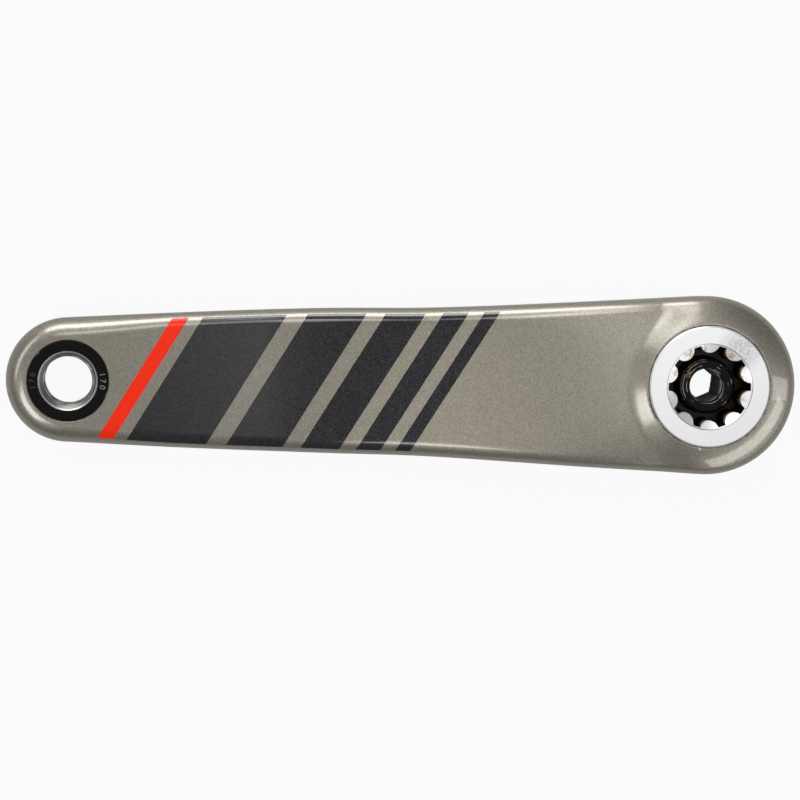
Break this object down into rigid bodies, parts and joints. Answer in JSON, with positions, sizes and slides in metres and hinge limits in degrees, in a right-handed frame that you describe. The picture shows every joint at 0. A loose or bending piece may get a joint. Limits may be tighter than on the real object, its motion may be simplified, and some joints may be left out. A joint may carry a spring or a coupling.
{
  "type": "bicycle crank arm",
  "caption": "Left bicycle crank arm: tapered moulded arm with a splined metal spindle insert, a captive hollow hexagon bolt under a screwed cap, and a threaded pedal insert.",
  "frame": {"origin": "where the spindle axis meets the bearing face of the spindle insert", "axes": "+Z along the spindle axis, inboard; +X from the pedal axis to the spindle axis; +Y across the arm"},
  "size_m": [0.2107, 0.0478, 0.033],
  "materials": {
    "arm_paint": "champagne grey metallic flake paint under a gloss clear coat, on a fibre composite moulding",
    "insert_alloy": "machined bright, a little scuffed, grease in the spline",
    "pedal_alloy": "black flange with a bright machined lead-in and thread",
    "bolt_steel": "black oxide, greased",
    "washer_steel": "plain ground steel, greased",
    "washer_plastic": "plain moulded nylon",
    "cap_alloy": "black anodised satin"
  },
  "bodies": {
    "arm": {"arm_body": "arm_paint", "spindle_insert": "insert_alloy", "pedal_insert": "pedal_alloy", "thrust_washer": "washer_steel", "glide_washer": "washer_plastic", "extractor_cap": "cap_alloy"},
    "bolt": {"crank_bolt": "bolt_steel"}
  },
  "joints": [
    {"name": "bolt_spin", "type": "hinge", "parent": "arm", "child": "bolt", "pos_m": [0, 0, 0], "axis": [0, 0, 1], "continuous": true}
  ]
}
